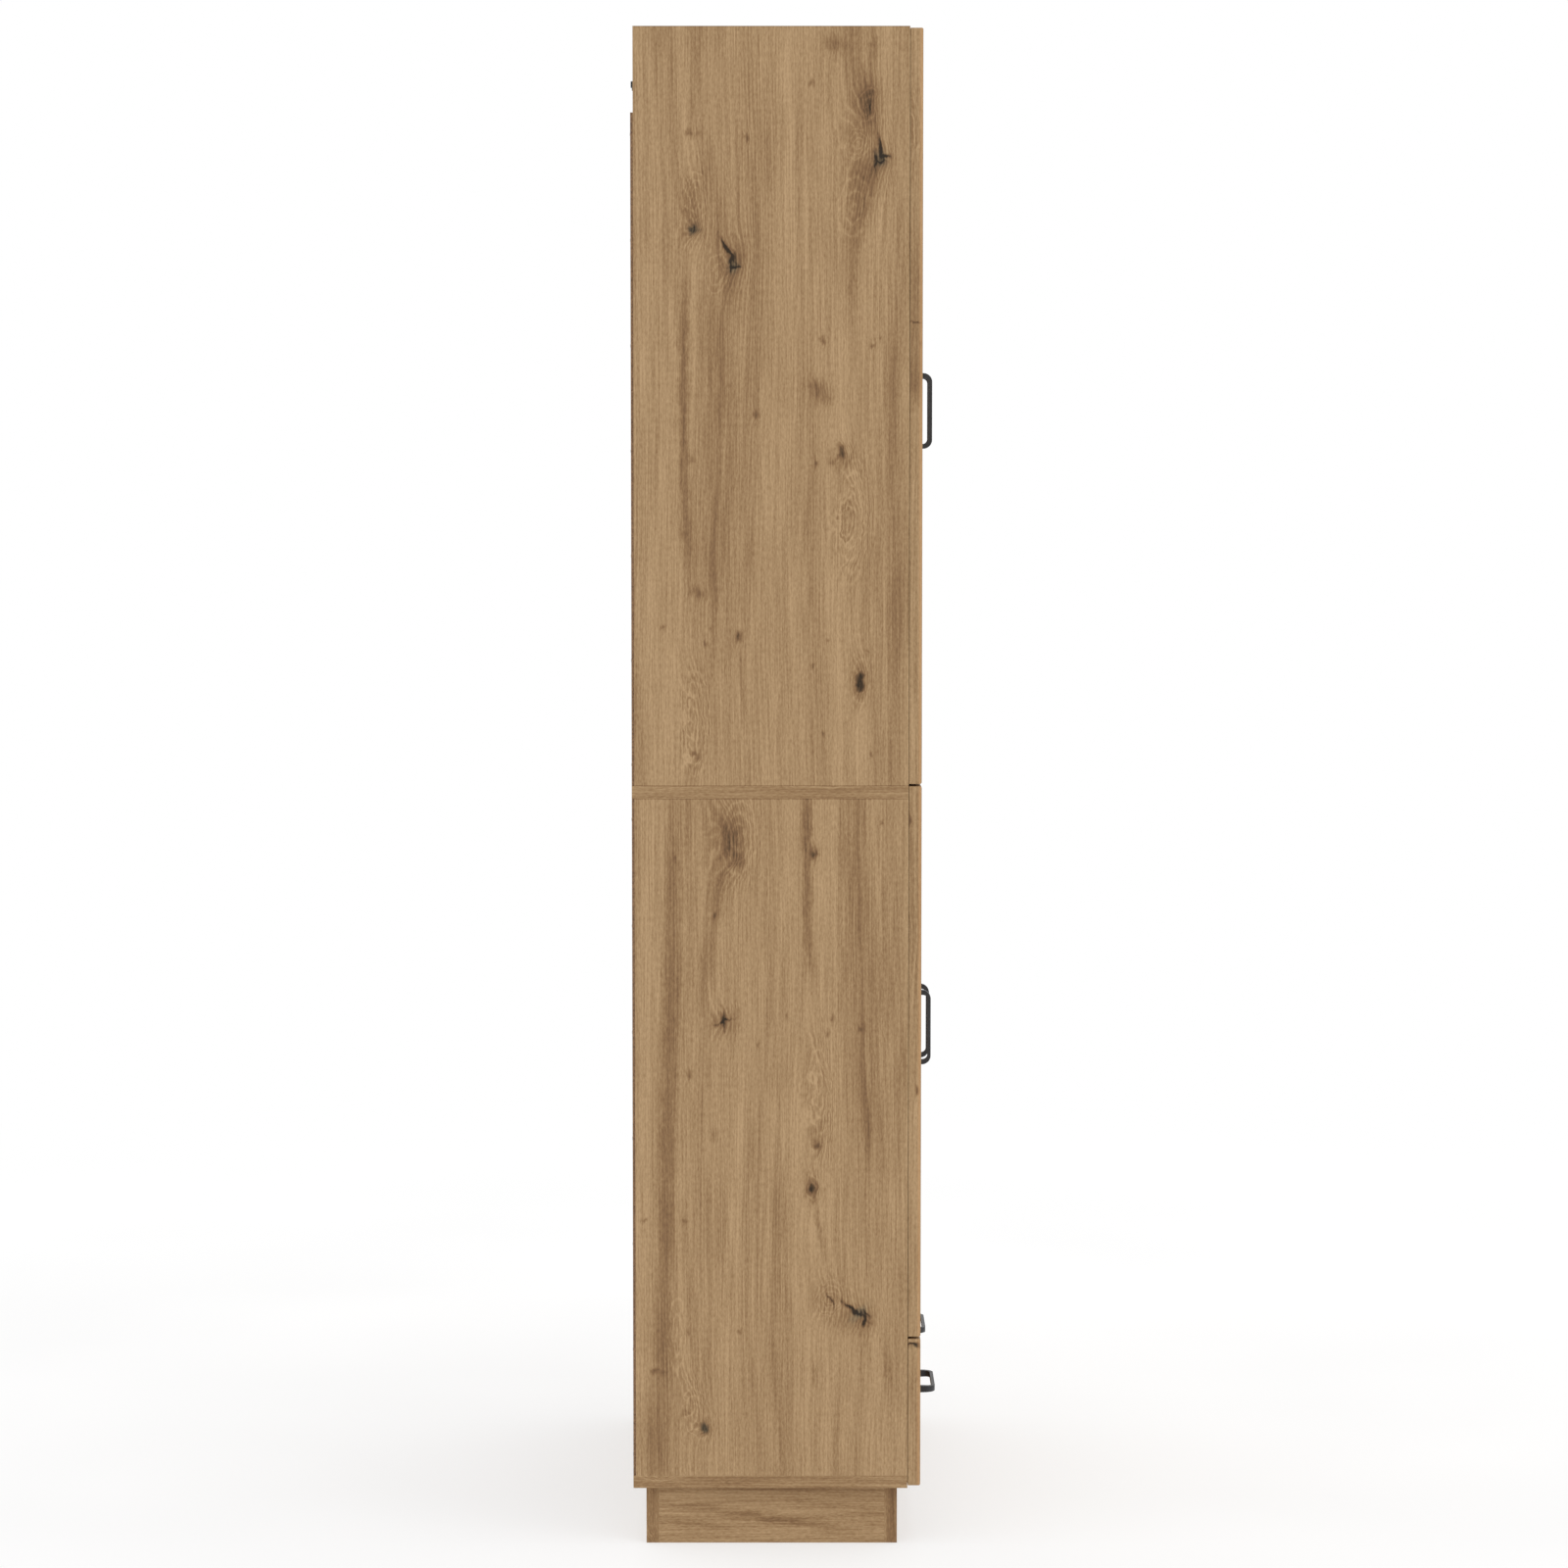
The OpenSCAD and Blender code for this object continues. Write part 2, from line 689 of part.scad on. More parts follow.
module drawer_bottom(s) {
    half = box_half - drawer_t + groove_depth - bottom_play;
    front = groove_depth - bottom_play;
    color(HARDBOARD) on_side(s) translate([-drawer_mid_x - half, y_door - front, groove_z + bottom_play])
        cube([2 * half, drawer_d + front, drawer_bottom_t]);
}

// Places a runner's parts against both walls of a drawer's bay, with x out from the wall
module both_walls(s) {
    on_side(s) for (m = SIDES) translate([-drawer_mid_x, 0, runner_z]) {
        if (m < 0) translate([-drawer_half, 0, 0]) children();
        else translate([drawer_half, 0, 0]) mirror([1, 0, 0]) children();
    }
}

// Length along Y of an outline drawn in (x, z)
module run(y0, len) {
    translate([0, y0 + len, 0]) rotate([90, 0, 0]) linear_extrude(len) children();
}

module channel(x0, x1, half_h, t, web_at_start) {
    translate([web_at_start ? x0 : x1 - t, -half_h]) square([t, 2 * half_h]);
    for (z = [-half_h, half_h - t]) translate([x0, z]) square([x1 - x0, t]);
}

module runner_rails() {
    color(STEEL) for (s = SIDES) both_walls(s) {
        run(runner_front_y, runner_len) channel(0, runner_lip, runner_half_h, runner_sheet, true);
    }
}

module drawer_slides(s) {
    color(STEEL) both_walls(s) {
        run(runner_front_y, runner_len) channel(member_back_x, runner_t, member_half_h, runner_sheet, false);
    }
}

module ball_cages(s) {
    y0 = runner_front_y + cage_start;
    color(STEEL) both_walls(s) {
        run(y0, cage_len) {
            translate([cage_x, -ball_z]) square([cage_t, 2 * ball_z]);
            for (z = [-ball_z, ball_z]) translate([cage_x, z - cage_t / 2]) square([cage_w, cage_t]);
        }
        for (m = SIDES, i = [0:ball_count - 1]) {
            translate([ball_x, y0 + cage_len * (i + 0.5) / ball_count, m * ball_z]) sphere(ball_r);
        }
    }
}

plinth_front();
plinth_rear();
plinth_side(-1);  // plinth_left
plinth_side(1);  // plinth_right
level_board(plinth_h, half_w, wide_d);  // bottom_panel
upright(-1, bottom_top, middle_z);  // lower_side_left
upright(1, bottom_top, middle_z);  // lower_side_right
drawer_divider();
level_board(deck_z, inner_x, side_d);  // drawer_deck
shelf(lower_shelf_z);  // lower_shelf
level_board(middle_z, half_w, wide_d);  // middle_panel
upright(-1, middle_top, cabinet_h);  // upper_side_left
upright(1, middle_top, cabinet_h);  // upper_side_right
level_board(top_z, inner_x, side_d);  // top_panel
shelf(low_shelf_z);  // upper_shelf_low
shelf(high_shelf_z);  // upper_shelf_high
rear_rail();
back(middle_top, back_top_z);  // back_upper
back(bottom_top, middle_z);  // back_lower
shelf_pins();
cam_locks();
cam_bolts();
dowels();
plinth_screws();
back_nails();
wall_brackets();
hinge_arms();
runner_rails();
door(-1, upper_door_z, upper_door_h);  // upper_left_door
hinge_cups(-1, UPPER_HINGES);  // upper_left_hinge_cups
hinge_links(-1, UPPER_HINGES);  // upper_left_hinge_links
door_handle(-1, upper_door_z, upper_door_h);  // upper_left_handle
door(1, upper_door_z, upper_door_h);  // upper_right_door
hinge_cups(1, UPPER_HINGES);  // upper_right_hinge_cups
hinge_links(1, UPPER_HINGES);  // upper_right_hinge_links
door_handle(1, upper_door_z, upper_door_h);  // upper_right_handle
door(-1, lower_door_z, lower_door_h);  // lower_left_door
hinge_cups(-1, LOWER_HINGES);  // lower_left_hinge_cups
hinge_links(-1, LOWER_HINGES);  // lower_left_hinge_links
door_handle(-1, lower_door_z, lower_door_h);  // lower_left_handle
door(1, lower_door_z, lower_door_h);  // lower_right_door
hinge_cups(1, LOWER_HINGES);  // lower_right_hinge_cups
hinge_links(1, LOWER_HINGES);  // lower_right_hinge_links
door_handle(1, lower_door_z, lower_door_h);  // lower_right_handle
drawer_front(-1);  // left_drawer_front
drawer_side(-1, false);  // left_drawer_inner_side
drawer_side(-1, true);  // left_drawer_outer_side
drawer_back(-1);  // left_drawer_back
drawer_bottom(-1);  // left_drawer_bottom
drawer_handle(-1);  // left_drawer_handle
drawer_slides(-1);  // left_drawer_slides
ball_cages(-1);  // left_ball_cages
drawer_front(1);  // right_drawer_front
drawer_side(1, false);  // right_drawer_inner_side
drawer_side(1, true);  // right_drawer_outer_side
drawer_back(1);  // right_drawer_back
drawer_bottom(1);  // right_drawer_bottom
drawer_handle(1);  // right_drawer_handle
drawer_slides(1);  // right_drawer_slides
ball_cages(1);  // right_ball_cages
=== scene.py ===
"""Looks of the pantry cabinet: its materials, and the floor, light and camera of its picture."""

import json
import math

import bpy
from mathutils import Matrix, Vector


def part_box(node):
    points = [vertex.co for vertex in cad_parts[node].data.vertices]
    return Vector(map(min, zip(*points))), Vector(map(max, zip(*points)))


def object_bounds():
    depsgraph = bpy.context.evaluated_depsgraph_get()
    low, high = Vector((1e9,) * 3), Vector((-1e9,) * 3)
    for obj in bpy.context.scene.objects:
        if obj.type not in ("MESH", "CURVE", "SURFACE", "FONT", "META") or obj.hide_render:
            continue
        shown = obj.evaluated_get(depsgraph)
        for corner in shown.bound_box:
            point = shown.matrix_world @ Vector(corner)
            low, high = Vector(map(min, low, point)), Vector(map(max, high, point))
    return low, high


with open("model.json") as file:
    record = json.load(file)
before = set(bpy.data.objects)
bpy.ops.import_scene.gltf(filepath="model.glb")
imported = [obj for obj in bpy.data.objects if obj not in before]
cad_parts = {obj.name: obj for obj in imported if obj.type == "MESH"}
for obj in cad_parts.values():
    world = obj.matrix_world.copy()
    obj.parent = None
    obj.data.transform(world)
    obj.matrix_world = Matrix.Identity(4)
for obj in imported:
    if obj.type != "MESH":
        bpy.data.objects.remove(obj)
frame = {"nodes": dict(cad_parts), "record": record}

cad_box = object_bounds()
nodes = frame["nodes"]
# Millimetres in a metre
MM = 1000.0


def linear(red, green, blue):
    """A colour given as 8-bit sRGB values, as the linear colour that a shader takes."""
    return tuple(((c / 255 + 0.055) / 1.055) ** 2.4 for c in (red, green, blue)) + (1.0,)


def grey(level):
    """A grey of a linear level from 0 to 1."""
    return (level, level, level, 1.0)


# ---- Node graphs ----
class Graph:
    """A material's node tree. A method adds nodes and mostly returns the socket with the result."""

    def __init__(self, name):
        self.material = bpy.data.materials.new(name)
        self.material.use_nodes = True
        self.tree = self.material.node_tree
        self.shader = self.tree.nodes["Principled BSDF"]

    def add(self, kind, values=(), **settings):
        """A new node with its settings, and a value or a link for each input named in values."""
        made = self.tree.nodes.new(kind)
        for name, value in settings.items():
            setattr(made, name, value)
        for name, value in dict(values).items():
            self.put(made.inputs[name], value)
        return made

    def put(self, socket, value):
        """Links a socket to another one, or sets it to a plain value."""
        if isinstance(value, bpy.types.NodeSocket):
            self.tree.links.new(value, socket)
        else:
            socket.default_value = value

    def math(self, operation, *values):
        return self.add("ShaderNodeMath", enumerate(values), operation=operation).outputs[0]

    def vector(self, operation, *values):
        made = self.add("ShaderNodeVectorMath", enumerate(values), operation=operation)
        return made.outputs["Value" if operation == "DOT_PRODUCT" else "Vector"]

    def split(self, vector):
        """The three parts of a vector or colour."""
        return self.add("ShaderNodeSeparateXYZ", {0: vector}).outputs

    def join(self, x, y, z=0.0):
        """A vector from its three parts."""
        return self.add("ShaderNodeCombineXYZ", {0: x, 1: y, 2: z}).outputs[0]

    def mix_vectors(self, factor, a, b):
        return self.add("ShaderNodeMix", {0: factor, 4: a, 5: b}, data_type="VECTOR").outputs[1]

    def mix_colours(self, factor, a, b):
        return self.add("ShaderNodeMix", {0: factor, 6: a, 7: b}, data_type="RGBA").outputs[2]

    def noise(self, vector, size, detail=0.0, roughness=0.5, dimensions="2D", output="Fac"):
        """Noise on both sides of 0, whose coarsest lumps are about size millimetres along each axis."""
        scaled = self.vector("DIVIDE", vector, size)
        values = {"Vector": scaled, "Scale": 1.0, "Detail": detail, "Roughness": roughness}
        settings = {"noise_dimensions": dimensions, "normalize": False}
        return self.add("ShaderNodeTexNoise", values, **settings).outputs[output]

    def lumps(self, place, size, detail, roughness):
        """Noise in space whose coarsest lumps are about size millimetres every way."""
        return self.noise(place, (size, size, size), detail, roughness, "3D")

    def scaled(self, value, factor, offset):
        """value times factor, plus offset."""
        return self.math("MULTIPLY_ADD", value, factor, offset)

    def fade(self, value, start, end):
        """0 up to start, 1 from end on and smooth between them; start may be the higher one."""
        values = {"Value": value, "From Min": start, "From Max": end}
        return self.add("ShaderNodeMapRange", values, interpolation_type="SMOOTHSTEP").outputs[0]

    def ramp(self, value, stops):
        """Colour from a list of (position, colour)."""
        made = self.add("ShaderNodeValToRGB", {0: value})
        elements = made.color_ramp.elements
        while len(elements) < len(stops):
            elements.new(1.0)
        for element, (position, colour) in zip(elements, stops):
            element.position = position
            element.color = colour
        return made.outputs[0]

    def place(self):
        """Place on the part in millimetres, and the way its surface faces."""
        found = self.add("ShaderNodeTexCoord").outputs
        scaled = self.add("ShaderNodeVectorMath", {0: found["Object"], "Scale": MM}, operation="SCALE")
        return scaled.outputs[0], found["Normal"]

    def bump(self, height, depth):
        """Bump of a height from 0 to 1, depth millimetres high."""
        made = self.add("ShaderNodeBump", {"Height": height, "Distance": depth / MM})
        self.put(self.shader.inputs["Normal"], made.outputs[0])

    def noise_bump(self, noise, depth):
        """Bump of a noise, about depth millimetres from its lowest points to its highest."""
        self.bump(self.math("MULTIPLY", noise, 0.5), depth)

    def finish(self, **inputs):
        """The material, once the shader's named inputs are set."""
        for name, value in inputs.items():
            self.put(self.shader.inputs[name.replace("_", " ")], value)
        return self.material


# ---- Figure of the oak print ----
# Knots and stains, in millimetres from the board's front edge and from the floor:
# across, along, half width, half length, turn in degrees, darkness, push on the grain lines round it
UPPER_MARKS = [
    # Cracked knot by the front edge, the oval knot above it and the stain that runs down from them
    (33, 1647, 9, 11, 0, 34, 9),
    (50, 1709, 13, 26, 8, 40, 12),
    (60, 1672, 12, 16, 15, 19, 14),
    (52, 1633, 18, 20, 20, 25, 9),
    (57, 1600, 15, 30, 12, 17, 6),
    (65, 1560, 9, 38, 8, 16, 0),
    (68, 1490, 5, 45, 3, 15, 0),
    # Cracked knot towards the back, and the round knot beside it under its stain
    (206, 1525, 10, 17, 15, 30, 12),
    (253, 1564, 4.6, 5, 0, 66, 7),
    (252, 1567, 11, 14, 0, 25, 9),
    (250, 1600, 12, 30, 3, 19, 12),
    # Small knots and flecks over the board
    (258, 1677, 3.2, 4.6, 0, 36, 4),
    (255, 1700, 3.0, 26, 0, 14, 0),
    (191, 1671, 3.0, 4.2, 0, 34, 4),
    (248, 1676, 5, 4, 0, 18, 0),
    (114, 1735, 3.2, 4.4, 0, 36, 4),
    (181, 1348, 3.2, 4.6, 0, 36, 5),
    (111, 1290, 2.8, 4.2, 0, 32, 4),
    (255, 1295, 3.0, 4.4, 0, 34, 4),
    (44, 1429, 2.8, 4.0, 0, 38, 3),
    (34, 1436, 2.2, 3.2, 0, 34, 0),
    (101, 1434, 2.8, 4.2, 0, 38, 3),
    # Brown patch, and the leaf-shaped figure under its knot
    (105, 1378, 8, 10, 25, 28, 6),
    (98, 1366, 8, 7, -20, 18, 4),
    (117, 1384, 6, 5, 0, 12, 0),
    (80, 1305, 4.4, 7, 0, 60, 7),
    (80, 1300, 10, 12, 0, 14, 6),
    (89, 1292, 4.5, 10, -28, 22, 0),
    (72, 1291, 4.5, 10, 28, 22, 0),
    (67, 1226, 10, 30, 4, 6, 40),
    # Dark streak towards the back
    (265, 1445, 6.5, 75, 0, 34, 0),
    (265, 1330, 6.5, 75, -1, 32, 0),
    (261, 1210, 6.5, 60, -3, 30, 0),
    (249, 1139, 11, 6, 20, 26, 4),
    # Knots near the lower end, the darkest one by the front
    (57, 1035, 8, 18, 0, 32, 16),
    (57, 1035, 3.8, 11, 0, 74, 0),
    (200, 1087, 3.8, 5.6, 0, 48, 6),
    (198, 1040, 3, 46, -5, 13, 0),
    (252, 948, 4, 6, 0, 40, 6),
    (252, 990, 8, 32, 0, 6, 24),
    # Specks near the lower end
    (289, 1099, 2.2, 3.4, 0, 34, 0),
    (233, 1096, 2.2, 3.2, 0, 32, 0),
    (239, 1079, 2.0, 3.0, 0, 30, 0),
    (95, 1082, 2.2, 3.2, 0, 32, 0),
    (114, 1052, 2.0, 3.2, 0, 30, 0),
    (50, 1070, 2.2, 3.2, 0, 30, 0),
    (45, 947, 2.4, 3.6, 0, 32, 0),
    (102, 972, 2.2, 3.2, 0, 30, 0),
    # Broad faint band, and the stains at the top end
    (180, 1600, 17, 170, 0, 9, 8),
    (92, 1780, 9, 9, 0, 26, 5),
    (76, 1776, 8, 6, 20, 14, 0),
    (42, 1778, 6, 15, 0, 14, 4),
]
LOWER_MARKS = [
    # Dark patch at the top end and the stain that runs down and back from it
    (209, 850, 15, 30, 0, 44, 24),
    (200, 822, 7, 10, 0, 32, 6),
    (225, 785, 10, 42, 12, 26, 0),
    (239, 695, 9, 58, 9, 19, 0),
    # Knot and dark streak by the front
    (111, 831, 4.4, 7, 0, 56, 7),
    (121, 872, 6.5, 40, 0, 24, 0),
    (120, 800, 5, 85, 0, 28, 0),
    (116, 715, 4.6, 50, -3, 26, 0),
    # Small knots of the upper half, the one at 218 cracked
    (230, 755, 3.2, 4.8, 0, 38, 4),
    (218, 631, 11, 13, 0, 28, 12),
    (218, 631, 3.4, 4.4, 0, 34, 0),
    (260, 568, 3.2, 4.6, 0, 36, 4),
    (56, 624, 3.2, 5, 0, 38, 4),
    # Long dark streak along the back edge
    (278, 800, 9, 115, 0, 28, 5),
    (282, 640, 8, 85, 0, 28, 0),
    (284, 500, 8.5, 85, 0, 29, 0),
    (287, 370, 9, 85, -1, 27, 0),
    (291, 240, 12, 75, -2, 25, 5),
    (298, 125, 16, 55, -4, 29, 0),
    # Two knots one above the other, and the streak under them
    (108, 483, 4, 6.4, 0, 54, 5),
    (105, 540, 8, 36, -2, 5, 26),
    (114, 432, 5, 7.4, 0, 70, 7),
    (113, 430, 10, 14, 0, 20, 6),
    (105, 380, 3.8, 40, -9, 24, 0),
    # Cracked knot near the lower end, with the ringed knot behind it
    (56, 278, 14, 12, 55, 32, 9),
    (97, 300, 13, 20, 0, 18, 12),
    (75, 268, 20, 15, 40, 13, 0),
    # Round knot at the lower end, towards the back
    (242, 143, 4.8, 6, 0, 64, 7),
    (243, 144, 9, 9, 0, 14, 0),
    (254, 168, 8, 20, -14, 5, 20),
    # Specks over the board
    (302, 210, 3.4, 3.0, 0, 38, 0),
    (292, 210, 6, 3, 0, 18, 0),
    (313, 394, 2.6, 3.0, 0, 34, 0),
    (266, 393, 2.6, 3.2, 0, 34, 0),
    (177, 602, 2.2, 3.4, 0, 32, 0),
    (89, 633, 2.2, 3.2, 0, 32, 0),
    (95, 616, 2.0, 3.0, 0, 30, 0),
    (145, 637, 2.2, 3.2, 0, 32, 0),
    (261, 258, 2.6, 3.4, 0, 28, 0),
    (200, 260, 2.4, 3.2, 0, 30, 0),
    (32, 868, 2.4, 3.4, 0, 34, 0),
    (275, 827, 2.2, 3.2, 0, 34, 0),
    # Faint stains
    (24, 215, 6, 34, 0, 17, 4),
    (110, 206, 5, 16, 0, 14, 4),
    (231, 497, 5, 8, 0, 17, 3),
    (46, 497, 8, 30, 0, 14, 3),
]

# Dark cracks: across and along of both ends, half width, darkness
UPPER_CRACKS = [
    (36, 1674, 32, 1647, 1.9, 95),
    (41, 1653, 40, 1634, 1.7, 80),
    (34, 1649, 23, 1650, 1.7, 80),
    (40, 1643, 30, 1643, 1.5, 60),
    (46, 1730, 47, 1697, 1.0, 38),
    (221, 1552, 206, 1530, 2.0, 95),
    (206, 1533, 213, 1514, 1.8, 85),
    (212, 1522, 198, 1521, 1.6, 70),
]
LOWER_CRACKS = [
    (77, 295, 51, 276, 2.2, 95),
    (51, 278, 52, 263, 1.8, 75),
    (54, 283, 44, 278, 1.6, 60),
    (96, 307, 88, 289, 1.5, 60),
    (218, 641, 218, 621, 1.4, 65),
    (209, 634, 227, 628, 1.3, 60),
]

# Grey hearts of the cracked knots: across, along, half width, half length, turn in degrees
UPPER_HEARTS = [(34, 1647, 7, 9, 0), (207, 1521, 6, 7, 20), (253, 1564, 5, 6, 0)]
LOWER_HEARTS = [(58, 281, 5, 12, 50), (242, 143, 4, 5, 0)]

# Ovals that the growth rings follow: across, along, half width, half length, turn, number of rings
UPPER_OVALS = [
    (50, 1708, 14, 27, 8, 3),
    (61, 1664, 17, 22, 15, 4),
    (66, 1590, 24, 46, 6, 3),
    (251, 1598, 15, 42, 3, 4),
    (226, 1512, 17, 30, 12, 3),
    (67, 1222, 21, 84, 2, 6),
    (57, 1035, 14, 34, 0, 3),
    (252, 985, 20, 74, 0, 5),
]
LOWER_OVALS = [
    (201, 850, 26, 52, 4, 4),
    (105, 548, 16, 62, -2, 4),
    (114, 432, 11, 18, 0, 3),
    (93, 298, 19, 26, 20, 5),
    (251, 160, 19, 40, -12, 4),
    (275, 255, 13, 60, 0, 3),
]
# A crack's half length beside the distance between its ends
CRACK_HALF = 0.55


def crack_mark(across_1, along_1, across_2, along_2, half_width, darkness):
    """A crack between two points, as a long thin mark."""
    across = across_2 - across_1
    along = along_2 - along_1
    half_length = math.hypot(across, along) * CRACK_HALF
    turn = math.degrees(math.atan2(-across, along))
    middle = (across_1 + across / 2, along_1 + along / 2)
    return (*middle, half_width, half_length, turn, darkness, 0)


PRINTS = {
    "upper": (UPPER_MARKS + [crack_mark(*c) for c in UPPER_CRACKS], UPPER_HEARTS, UPPER_OVALS),
    "lower": (LOWER_MARKS + [crack_mark(*c) for c in LOWER_CRACKS], LOWER_HEARTS, LOWER_OVALS),
}


def print_with(kind, extra):
    """One of the prints with a few marks of the board's own."""
    marks, hearts, ovals = PRINTS[kind]
    return marks + extra, hearts, ovals


# ---- Shade of the oak print ----
# The two axes (across, along the grain) on faces that look along x, y and z, for each way a board lies
LAYOUTS = {
    "upright": ("yz", "xz", "xy"),
    "door": ("yz", "xz", "yx"),
    "level": ("zy", "zx", "yx"),
    "wide": ("yz", "zx", "yx"),
    "deep": ("zy", "xz", "xy"),
}
# A face looks along an axis if its normal's part on that axis is more than this
FACING = 0.71

# Noise layers: size of the coarsest lumps across and along the grain in millimetres, number of
# finer octaves, and how strong each octave is beside the one before it
WOBBLE = ((11, 16, 1), 2.0)
WAVES = ((170, 900, 1), 1.0)
BANDS = ((48, 1100, 1), 2.0, 0.7)
CLOUDS = ((15, 130, 1), 2.0, 0.6)
STREAKS = ((5.2, 300, 1), 1.0, 0.9)
FIBRES = ((1.7, 90, 1), 1.0, 0.8)
SPECKS = ((2.0, 6, 1), 1.0, 0.7)
PORES = ((1.2, 11, 1), 1.0)
RING_DRIFT = ((26, 420, 1), 1.0)

# In millimetres: how far the wobble moves a mark across and along, the waves move a grain line and
# the drift moves a growth ring, the distance between rings, and how far apart the layers of one seed
# and the next lie across and along
WOBBLE_REACH = (2.5, 3.5, 0)
WAVE_REACH = 12
DRIFT_REACH = 5.0
RING_PITCH = 4.6
SEED_ACROSS = 173
SEED_ALONG = 611

# Levels of shade that each part of the print adds
BASE = 137
TONE_LEVELS = -10.0
TONE_MIDDLE = 10.5
STREAK_LEVELS = 7
FIBRE_LEVELS = 10.5
SPECK_LEVELS = 10.5
PORE_LEVELS = -7
RING_LEVELS = 2.2
KNOT_RING_LEVELS = 3.5
PALE_RING_LEVELS = 7
KNOT_LEVELS = -6
OVAL_WAVE_LEVELS = 3
OVAL_RIDGE_LEVELS = 9

# Weight of bands and clouds in the tone, and of fibres and pores in the relief
BAND_WEIGHT = 0.9
CLOUD_WEIGHT = 0.45
FIBRE_HEIGHT = 0.35
PORE_HEIGHT = -0.7

# Where each of these fades in: pores out of their noise, the neighbourhood of a knot out of the push
# in millimetres, pale rings and ridges out of a sine, and an oval's rings out of the radius
PORE_RANGE = (0.3, 0.6)
KNOT_RANGE = (1.0, 9.0)
PALE_RING_RANGE = (0.6, 1.0)
RIDGE_RANGE = (0.5, 1.0)
OVAL_RANGE = (1.1, 0.75)

# Reach of a mark's push beside its half width, and greyness in the middle of a heart
PUSH_REACH = 1.8
HEART_GREY = 0.55

# Small knots strewn over a board without marks: size of the cell that may hold one, half width and
# half length of the knot, range of the cell's random number, darkness, push and the push's reach
STREWN_CELL = (105, 240, 1)
STREWN_HALF = (4, 6)
STREWN_RANGE = (0.35, 0.6)
STREWN_DARKNESS = 42
STREWN_PUSH = 20
STREWN_REACH = 3.0


def grain_place(g, layout):
    """(across, along, 0) in millimetres on every face of a board, and 1 on faces that look along x."""
    place, normal = g.place()
    axes = dict(zip("xyz", g.split(place)))
    facing = g.split(normal)
    on_x, on_y, on_z = (g.join(axes[pair[0]], axes[pair[1]]) for pair in LAYOUTS[layout])
    is_x, is_y = (g.math("GREATER_THAN", g.math("ABSOLUTE", facing[i]), FACING) for i in (0, 1))
    return g.mix_vectors(is_x, g.mix_vectors(is_y, on_z, on_y), on_x), is_x


def squared_distance(g, grain, across, along, half_width, half_length, turn):
    """Square of the distance from an ellipse's centre, 1 on its edge."""
    values = {
        "Vector": grain,
        "Location": (across, along, 0),
        "Rotation": (0, 0, math.radians(turn)),
        "Scale": (half_width, half_length, 1),
    }
    near = g.add("ShaderNodeMapping", values, vector_type="TEXTURE").outputs[0]
    return g.vector("DOT_PRODUCT", near, near)


def fading(g, squared, reach=1.0):
    """1 in the middle of an ellipse and 1/e at reach times its size, from the squared distance."""
    return g.math("POWER", math.exp(-1 / reach**2), squared)


def marked(g, grain, marks):
    """The push on the grain lines and the darkness from a list of marks."""
    push = 0.0
    dark = 0.0
    for *ellipse, darkness, pushed in marks:
        squared = squared_distance(g, grain, *ellipse)
        if darkness:
            dark = g.math("MULTIPLY_ADD", fading(g, squared), darkness, dark)
        if pushed:
            push = g.math("MULTIPLY_ADD", fading(g, squared, PUSH_REACH), pushed, push)
    return push, dark


def scattered(g, grain):
    """The push and the darkness of small knots strewn over a board."""
    values = {"Vector": g.vector("DIVIDE", grain, STREWN_CELL), "Scale": 1.0}
    found = g.add("ShaderNodeTexVoronoi", values, voronoi_dimensions="2D").outputs
    offset = g.vector("SUBTRACT", values["Vector"], found["Position"])
    in_knots = (STREWN_CELL[0] / STREWN_HALF[0], STREWN_CELL[1] / STREWN_HALF[1], 0)
    near = g.vector("MULTIPLY", offset, in_knots)
    squared = g.vector("DOT_PRODUCT", near, near)
    chance = g.fade(g.split(found["Color"])[0], *STREWN_RANGE)
    darkness = g.math("MULTIPLY", chance, STREWN_DARKNESS)
    pushed = g.math("MULTIPLY", chance, STREWN_PUSH)
    push = g.math("MULTIPLY", fading(g, squared, STREWN_REACH), pushed)
    return push, g.math("MULTIPLY", fading(g, squared), darkness)


def grey_hearts(g, grain, hearts):
    """How grey the print is in the middle of its cracked knots."""
    heart = 0.0
    for ellipse in hearts:
        squared = squared_distance(g, grain, *ellipse)
        heart = g.math("MULTIPLY_ADD", fading(g, squared), HEART_GREY, heart)
    return heart


def oval_rings(g, grain, ovals):
    """Levels of shade that the growth rings add inside their ovals."""
    levels = 0.0
    for *ellipse, count in ovals:
        radius = g.math("SQRT", squared_distance(g, grain, *ellipse))
        wave = g.math("SINE", g.math("MULTIPLY", radius, 2 * math.pi * count))
        low = g.math("MULTIPLY", wave, OVAL_WAVE_LEVELS)
        ring = g.math("MULTIPLY_ADD", g.fade(wave, *RIDGE_RANGE), OVAL_RIDGE_LEVELS, low)
        levels = g.math("MULTIPLY_ADD", g.fade(radius, *OVAL_RANGE), ring, levels)
    return levels


